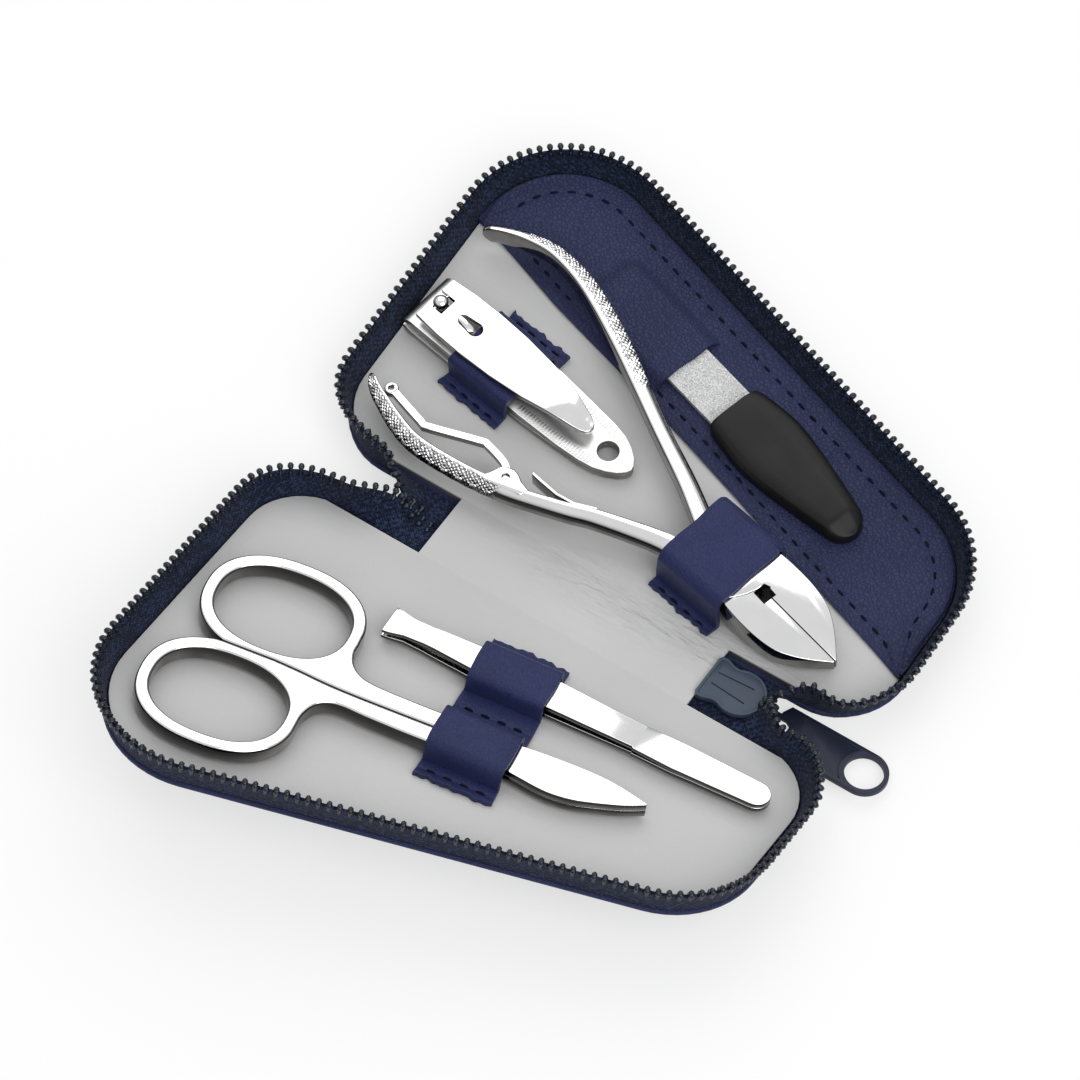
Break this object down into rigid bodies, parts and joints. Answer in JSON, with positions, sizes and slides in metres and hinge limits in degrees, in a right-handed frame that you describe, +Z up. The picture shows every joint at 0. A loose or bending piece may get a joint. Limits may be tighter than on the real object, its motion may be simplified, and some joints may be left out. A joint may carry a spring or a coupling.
{
  "type": "manicure set case",
  "caption": "Zipped leather manicure case, open on its spine, with scissors, tweezers, cuticle nippers, nail clippers and a nail file held in sewn loops and a pocket.",
  "frame": {"origin": "on the flat outer face of the back half, where it lies on the table", "axes": "+X along the spine towards the small end, +Y from the front half to the back half, +Z up"},
  "size_m": [0.1271, 0.1583, 0.0291],
  "materials": {
    "leather": "fine-grained semi-matte leather",
    "loop_leather": "smooth semi-matte leather with cut edges",
    "board": "pressed board, hidden",
    "lining": "thin grey synthetic lining",
    "zip_tape": "woven twill tape",
    "zip_teeth": "moulded teeth",
    "slider": "painted die-cast metal",
    "pull": "painted die-cast metal",
    "chrome": "polished chrome plate",
    "steel": "abrasive-coated steel",
    "grip": "black moulded plastic"
  },
  "bodies": {
    "back_half": {"back_cover": "leather", "back_board": "board", "back_lining": "lining", "back_zip_tape": "zip_tape", "back_zip_teeth": "zip_teeth", "file_pocket": "loop_leather", "nipper_loop": "loop_leather", "clipper_loop": "loop_leather"},
    "spine": {"spine_cover": "leather", "spine_board": "board", "spine_lining": "lining", "zip_end_tapes": "zip_tape", "zip_end_teeth": "zip_teeth", "slider_body": "slider", "pull_pin": "slider"},
    "pull": {"pull_tab": "pull"},
    "front_half": {"front_cover": "leather", "front_board": "board", "front_lining": "lining", "front_zip_tape": "zip_tape", "front_zip_teeth": "zip_teeth", "tool_loops": "loop_leather"},
    "scissors": {"scissor_lower_half": "chrome", "scissor_screw": "chrome"},
    "scissor_top_blade": {"scissor_upper_half": "chrome"},
    "tweezers": {"tweezer_lower_arm": "chrome"},
    "tweezer_top_arm": {"tweezer_upper_arm": "chrome"},
    "nippers": {"nipper_upper_jaw_half": "chrome", "nipper_leaf_spring": "chrome", "nipper_lock_pin": "chrome"},
    "nipper_lower_half": {"nipper_lower_jaw_half": "chrome", "nipper_rivet": "chrome"},
    "nipper_lock": {"nipper_lock_lever": "chrome"},
    "clippers": {"clipper_lower_jaw": "chrome", "clipper_rivet": "chrome"},
    "clipper_top_jaw": {"clipper_upper_jaw": "chrome"},
    "clipper_swivel": {"clipper_post": "chrome"},
    "clipper_lift": {"clipper_lever": "chrome"},
    "file": {"file_blade": "steel", "file_handle": "grip"}
  },
  "joints": [
    {"name": "spine_fold", "type": "hinge", "parent": "back_half", "child": "spine", "pos_m": [0, -0.033, 0.003], "axis": [-1, 0, 0], "range_deg": [-7, 83]},
    {"name": "front_fold", "type": "hinge", "parent": "spine", "child": "front_half", "pos_m": [0, -0.0469, 0.00471], "axis": [-1, 0, 0], "range_deg": [-7, 83]},
    {"name": "pull_swing", "type": "hinge", "parent": "spine", "child": "pull", "pos_m": [0.041, -0.04027, 0.00122], "axis": [0, 0.9925, -0.1219], "range_deg": [-90, 0]},
    {"name": "scissor_slide", "type": "slide", "parent": "front_half", "child": "scissors", "axis": [0.9816, 0.1851, -0.0462], "range_m": [-0.003, 0]},
    {"name": "scissor_pivot", "type": "hinge", "parent": "scissors", "child": "scissor_top_blade", "pos_m": [0.00185, -0.08006, 0.01555], "axis": [0, 0.2419, 0.9703], "range_deg": [-4, 0]},
    {"name": "tweezer_slide", "type": "slide", "parent": "front_half", "child": "tweezers", "axis": [-0.9959, -0.0879, 0.0219], "range_m": [-0.0025, 0]},
    {"name": "tweezer_squeeze", "type": "hinge", "parent": "tweezers", "child": "tweezer_top_arm", "pos_m": [0.03866, -0.05941, 0.0102], "axis": [-0.0906, 0.9663, -0.2409], "range_deg": [-0.5, 0], "stiffness_Nm_per_rad": 0.6},
    {"name": "nipper_slide", "type": "slide", "parent": "back_half", "child": "nippers", "axis": [-0.9767, 0.2147, 0], "range_m": [-0.003, 0]},
    {"name": "nipper_pivot", "type": "hinge", "parent": "nippers", "child": "nipper_lower_half", "pos_m": [0.019, -0.0205, 0.0075], "axis": [0, 0, 1], "range_deg": [-5, 0]},
    {"name": "nipper_lock_swing", "type": "hinge", "parent": "nippers", "child": "nipper_lock", "pos_m": [-0.0221, -0.0281, 0.0079], "axis": [0, 0, 1], "range_deg": [-15, 0]},
    {"name": "clipper_slide", "type": "slide", "parent": "back_half", "child": "clippers", "axis": [-0.9833, 0.1822, 0], "range_m": [-0.007, 0]},
    {"name": "clipper_flex", "type": "hinge", "parent": "clippers", "child": "clipper_top_jaw", "pos_m": [-0.01787, -0.01035, 0.00471], "axis": [0.1822, 0.9833, 0], "range_deg": [-1.5, 0], "stiffness_Nm_per_rad": 6},
    {"name": "clipper_turn", "type": "hinge", "parent": "clippers", "child": "clipper_swivel", "pos_m": [-0.0516, -0.0041, 0.008], "axis": [0, 0, 1], "range_deg": [-16, 0]},
    {"name": "clipper_lift", "type": "hinge", "parent": "clipper_swivel", "child": "clipper_lift", "pos_m": [-0.0516, -0.0041, 0.0101], "axis": [0.1822, 0.9833, 0], "range_deg": [-22, 0]},
    {"name": "file_slide", "type": "slide", "parent": "back_half", "child": "file", "axis": [-0.9537, 0.3007, 0], "range_m": [-0.012, 0]}
  ],
  "couplings": [
    {"joint": "front_fold", "follows": "spine_fold", "ratio": 1}
  ]
}
